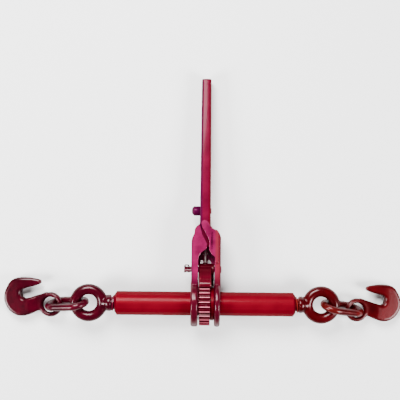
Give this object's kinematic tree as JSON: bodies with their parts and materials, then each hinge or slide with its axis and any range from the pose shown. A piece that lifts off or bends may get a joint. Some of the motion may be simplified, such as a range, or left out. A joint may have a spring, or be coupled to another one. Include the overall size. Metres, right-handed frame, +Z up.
{
  "type": "ratchet load binder",
  "caption": "Ratchet chain load binder: screw barrel turned by a ratchet handle, with an eye bolt, an oval link and a grab hook at each end.",
  "frame": {"origin": "on the barrel's axis, midway between its ends", "axes": "+X along the barrel towards the right-hand-threaded end, +Y from the barrel towards the handle's free end, +Z up from the floor the binder lies on"},
  "size_m": [0.5692, 0.351, 0.064],
  "materials": {
    "barrel_paint": "glossy red enamel",
    "forging_paint": "glossy dark red enamel over forged steel",
    "yoke_paint": "glossy maroon red enamel",
    "oiled_steel": "lightly oiled bare steel"
  },
  "bodies": {
    "rings": {"left_thrust_ring": "barrel_paint", "right_thrust_ring": "barrel_paint"},
    "barrel": {"barrel_tube": "barrel_paint", "ratchet_gear": "barrel_paint"},
    "left_bolt": {"left_eye_bolt": "forging_paint", "left_stop_washer": "oiled_steel"},
    "right_bolt": {"right_eye_bolt": "forging_paint", "right_stop_washer": "oiled_steel"},
    "handle": {"left_yoke": "yoke_paint", "right_yoke": "yoke_paint", "handle_bar": "yoke_paint", "bar_stud": "yoke_paint", "pawl_pin": "yoke_paint", "pawl_pin_cotter": "yoke_paint"},
    "pawl": {"pawl": "yoke_paint"},
    "plunger": {"detent_plunger": "oiled_steel", "detent_spring": "oiled_steel"},
    "left_link": {"left_link": "forging_paint"},
    "left_hook": {"left_grab_hook": "forging_paint"},
    "right_link": {"right_link": "forging_paint"},
    "right_hook": {"right_grab_hook": "forging_paint"}
  },
  "joints": [
    {"name": "barrel_spin", "type": "hinge", "parent": "rings", "child": "barrel", "pos_m": [0, 0, 0], "axis": [-1, 0, 0], "range_deg": [-282.86, 5760]},
    {"name": "left_bolt_slide", "type": "slide", "parent": "rings", "child": "left_bolt", "axis": [-1, 0, 0], "range_m": [-0.0044, 0.0881]},
    {"name": "right_bolt_slide", "type": "slide", "parent": "rings", "child": "right_bolt", "axis": [1, 0, 0], "range_m": [-0.0044, 0.0881]},
    {"name": "handle_swing", "type": "hinge", "parent": "rings", "child": "handle", "pos_m": [0, 0, 0], "axis": [1, 0, 0], "continuous": true},
    {"name": "pawl_tilt", "type": "hinge", "parent": "handle", "child": "pawl", "pos_m": [0, 0.0482, -0.00318], "axis": [1, 0, 0], "range_deg": [-4, 4]},
    {"name": "plunger_slide", "type": "slide", "parent": "handle", "child": "plunger", "axis": [0, 0.9978, -0.0658], "range_m": [0, 0.0025], "stiffness_N_per_m": 600},
    {"name": "left_link_swing", "type": "hinge", "parent": "left_bolt", "child": "left_link", "pos_m": [-0.164, 0, 0], "axis": [0, 0, 1], "range_deg": [-100, 100]},
    {"name": "left_hook_swing", "type": "hinge", "parent": "left_link", "child": "left_hook", "pos_m": [-0.20626, -0.0037, -0.01389], "axis": [-0.1902, 0.9574, 0.2174], "range_deg": [-100, 65]},
    {"name": "right_link_swing", "type": "hinge", "parent": "right_bolt", "child": "right_link", "pos_m": [0.164, 0, 0], "axis": [0, 0, 1], "range_deg": [-100, 100]},
    {"name": "right_hook_swing", "type": "hinge", "parent": "right_link", "child": "right_hook", "pos_m": [0.20383, -0.00631, -0.01389], "axis": [-0.2565, -0.9418, -0.2174], "range_deg": [-100, 65]}
  ],
  "couplings": [
    {"joint": "left_bolt_slide", "follows": "barrel_spin", "m_per_rad": 0.00087535},
    {"joint": "right_bolt_slide", "follows": "barrel_spin", "m_per_rad": 0.00087535}
  ]
}
